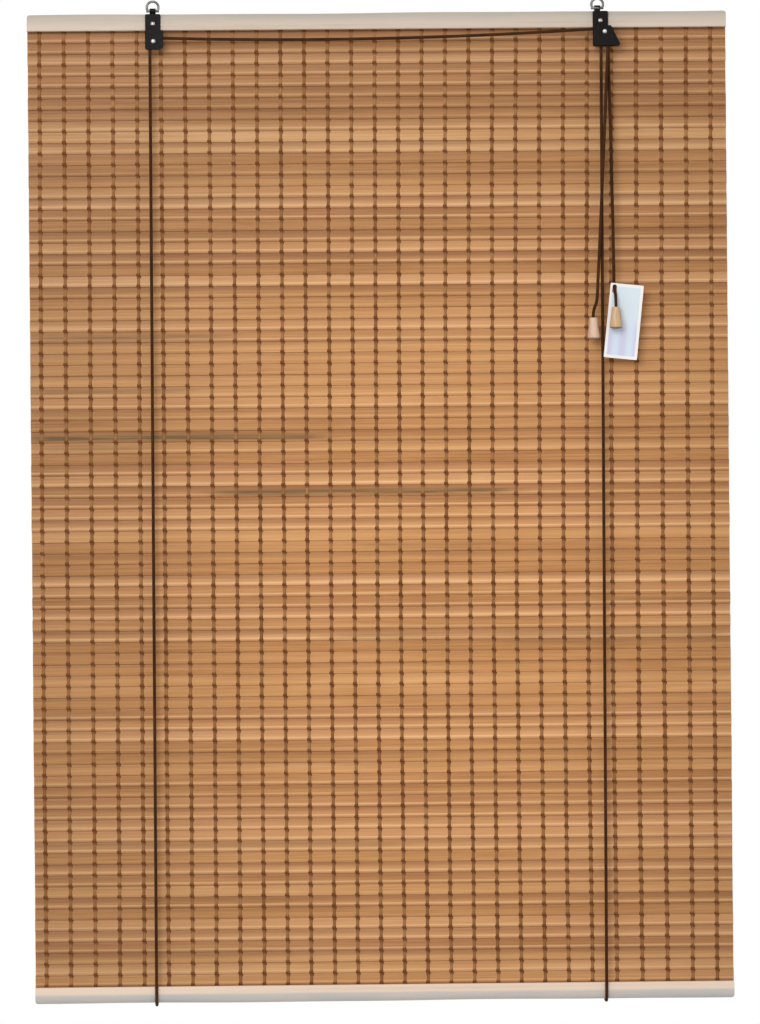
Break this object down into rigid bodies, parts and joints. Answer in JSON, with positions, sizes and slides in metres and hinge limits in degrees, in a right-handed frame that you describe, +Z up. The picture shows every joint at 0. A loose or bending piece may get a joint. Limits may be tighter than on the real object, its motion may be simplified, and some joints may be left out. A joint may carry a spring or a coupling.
{
  "type": "bamboo roll up blind",
  "caption": "Roll up window blind of bamboo slats twined on warp threads between two wooden rails, hung by rings, with a pulley, a cord lock and two pull cords.",
  "frame": {"origin": "at the middle of the blind's width, on the line through the two hanging rings where the wall hooks bear on the inside of their bows", "axes": "+X to the right as seen from the room, +Y back towards the wall, +Z up"},
  "size_m": [0.6, 0.0333, 0.8627],
  "materials": {
    "rail_wood": "planed, rounded edges",
    "bamboo": "satin, carbonised",
    "pull_wood": "turned, unfinished",
    "thread": "twined",
    "cord": "braided",
    "black_steel": "black paint",
    "bright_steel": "zinc plated",
    "ring_steel": "dull zinc",
    "roller_steel": "fluted",
    "wheel_plastic": "moulded",
    "card": "coated card"
  },
  "bodies": {
    "head": {"head_front_strip": "rail_wood", "head_back_strip": "rail_wood", "head_brads": "bright_steel", "bamboo_mat": "bamboo", "warp_threads": "thread", "left_bracket": "black_steel", "lock_bracket": "black_steel", "bracket_screws": "bright_steel", "left_axle": "bright_steel", "lock_axle": "bright_steel", "left_front_cord": "cord", "left_back_cord": "cord", "right_front_cord": "cord", "right_back_cord": "cord", "cross_cord": "cord", "left_pull_cord": "cord", "right_pull_cord": "cord"},
    "foot": {"foot_front_strip": "rail_wood", "foot_back_strip": "rail_wood", "foot_brads": "bright_steel", "left_under_cord": "cord", "right_under_cord": "cord"},
    "left_ring": {"left_ring": "ring_steel"},
    "right_ring": {"right_ring": "ring_steel"},
    "left_wheel": {"left_wheel": "wheel_plastic"},
    "lock_front_wheel": {"lock_front_wheel": "wheel_plastic"},
    "lock_rear_wheel": {"lock_rear_wheel": "wheel_plastic"},
    "lock_roller": {"lock_roller": "roller_steel"},
    "left_pull": {"left_cord_pull": "pull_wood", "left_pull_knot": "cord"},
    "right_pull": {"right_cord_pull": "pull_wood", "right_pull_knot": "cord", "hang_tag": "card"}
  },
  "joints": [
    {"name": "foot_lift", "type": "slide", "parent": "head", "child": "foot", "axis": [0, 0, 1], "range_m": [0, 0.75], "deforming": ["bamboo_mat", "warp_threads", "left_front_cord", "right_front_cord", "left_back_cord", "right_back_cord"]},
    {"name": "left_pull_drop", "type": "slide", "parent": "head", "child": "left_pull", "axis": [0, 0, -1], "range_m": [0, 1.5], "deforming": ["left_pull_cord"]},
    {"name": "right_pull_drop", "type": "slide", "parent": "head", "child": "right_pull", "axis": [0, 0, -1], "range_m": [0, 1.5], "deforming": ["right_pull_cord"]},
    {"name": "left_wheel_spin", "type": "hinge", "parent": "head", "child": "left_wheel", "pos_m": [-0.1916, 0, -0.03328], "axis": [0, 1, 0], "continuous": true},
    {"name": "lock_front_wheel_spin", "type": "hinge", "parent": "head", "child": "lock_front_wheel", "pos_m": [0.1952, 0, -0.02798], "axis": [0, 1, 0], "continuous": true},
    {"name": "lock_rear_wheel_spin", "type": "hinge", "parent": "head", "child": "lock_rear_wheel", "pos_m": [0.1952, 0, -0.02798], "axis": [0, 1, 0], "continuous": true},
    {"name": "lock_roller_slide", "type": "slide", "parent": "head", "child": "lock_roller", "axis": [-0.4493, 0, 0.8934], "range_m": [0, 0.005]},
    {"name": "left_ring_swing", "type": "hinge", "parent": "head", "child": "left_ring", "pos_m": [-0.192, 0, -0.00708], "axis": [1, 0, 0], "range_deg": [-90, 90]},
    {"name": "right_ring_swing", "type": "hinge", "parent": "head", "child": "right_ring", "pos_m": [0.1894, 0, -0.00708], "axis": [1, 0, 0], "range_deg": [-90, 90]}
  ],
  "couplings": [
    {"joint": "left_pull_drop", "follows": "foot_lift", "ratio": 2},
    {"joint": "right_pull_drop", "follows": "foot_lift", "ratio": 2}
  ]
}
